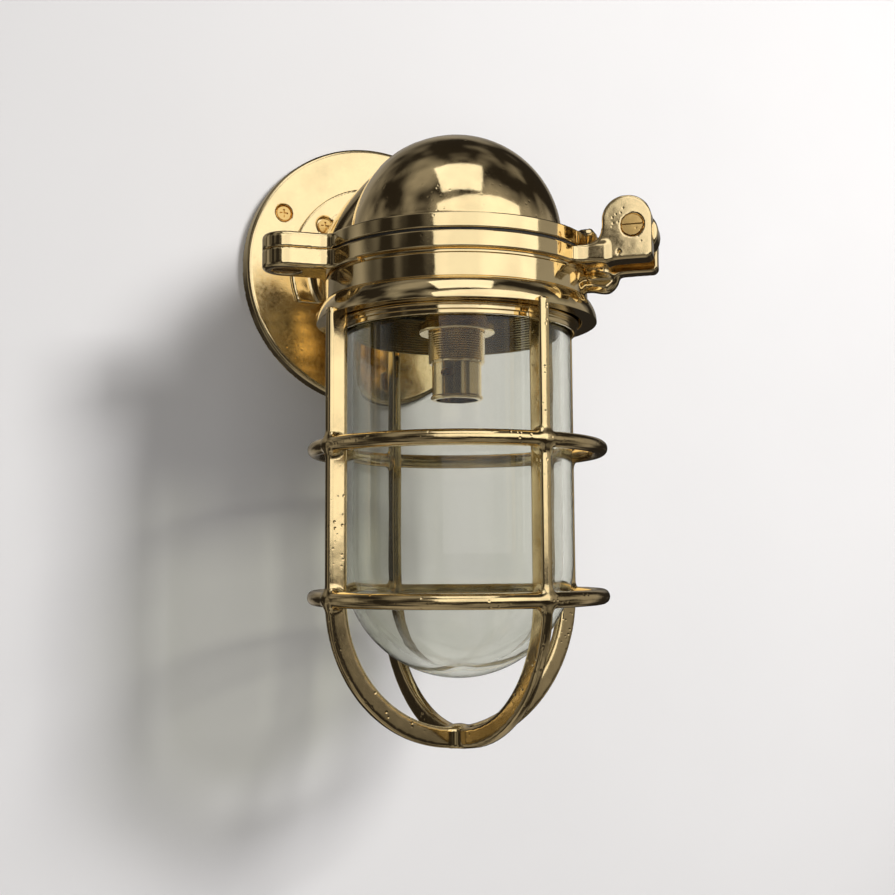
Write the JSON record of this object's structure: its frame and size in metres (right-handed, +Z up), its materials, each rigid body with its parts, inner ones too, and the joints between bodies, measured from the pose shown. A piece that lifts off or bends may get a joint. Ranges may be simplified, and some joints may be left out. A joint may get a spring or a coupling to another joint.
{
  "type": "ship lantern",
  "caption": "Wall-mounted ship lantern: cast brass hood on an arm, hinged cage with a thick glass, and a bayonet lampholder inside.",
  "frame": {"origin": "centre of the wall plate's back face, on the wall", "axes": "+Y into the wall, so the lantern stands out along -Y; +Z up; +X to the right when facing the wall"},
  "size_m": [0.1973, 0.2429, 0.3581],
  "materials": {
    "polished_brass": "polished spun and cast brass",
    "cast_brass": "polished sand-cast brass",
    "brass_screw": "turned brass",
    "dark_brass": "unpolished brass",
    "lampholder_brass": "bright drawn brass",
    "steel": "plated steel",
    "black_rubber": "moulded rubber",
    "ceramic": "glazed steatite ceramic",
    "clear_glass": "thick pressed glass, faint green",
    "brown_wire": "silicone insulation",
    "blue_wire": "silicone insulation",
    "green_wire": "silicone insulation"
  },
  "bodies": {
    "hood_body": {"wall_plate": "polished_brass", "wall_gasket": "black_rubber", "wall_screws": "brass_screw", "cable_grommet": "black_rubber", "hood": "cast_brass", "arm_screws": "brass_screw", "hood_gasket": "black_rubber", "holder_bracket": "dark_brass", "bracket_screws": "steel", "holder_locknut": "dark_brass", "holder_cap": "lampholder_brass", "holder_shell": "lampholder_brass", "shade_ring": "lampholder_brass", "holder_core": "ceramic", "holder_terminals": "dark_brass", "spring_left": "steel", "spring_right": "steel", "terminal_block": "ceramic", "block_screws": "steel", "earth_screw": "steel", "wire_live": "brown_wire", "wire_neutral": "blue_wire", "wire_earth": "green_wire"},
    "cage_body": {"cage": "cast_brass", "glass": "clear_glass", "glass_lower_seal": "black_rubber", "glass_upper_seal": "black_rubber", "glass_lock_ring": "polished_brass", "hinge_pin": "brass_screw", "hinge_nut": "brass_screw"},
    "clamp_screw_body": {"clamp_screw": "brass_screw"},
    "plunger_left_body": {"plunger_left": "dark_brass"},
    "plunger_right_body": {"plunger_right": "dark_brass"}
  },
  "joints": [
    {"name": "cage_swing", "type": "hinge", "parent": "hood_body", "child": "cage_body", "pos_m": [0.07461, -0.19341, -0.0132], "axis": [-0.6293, -0.7771, 0], "range_deg": [0, 105]},
    {"name": "clamp_screw_travel", "type": "slide", "parent": "cage_body", "child": "clamp_screw_body", "axis": [0, 0, -1], "range_m": [0, 0.009]},
    {"name": "plunger_left_travel", "type": "slide", "parent": "hood_body", "child": "plunger_left_body", "axis": [0, 0, 1], "range_m": [0, 0.004], "stiffness_N_per_m": 1200, "springref_m": -0.003, "deforming": ["spring_left"]},
    {"name": "plunger_right_travel", "type": "slide", "parent": "hood_body", "child": "plunger_right_body", "axis": [0, 0, 1], "range_m": [0, 0.004], "stiffness_N_per_m": 1200, "springref_m": -0.003, "deforming": ["spring_right"]}
  ]
}
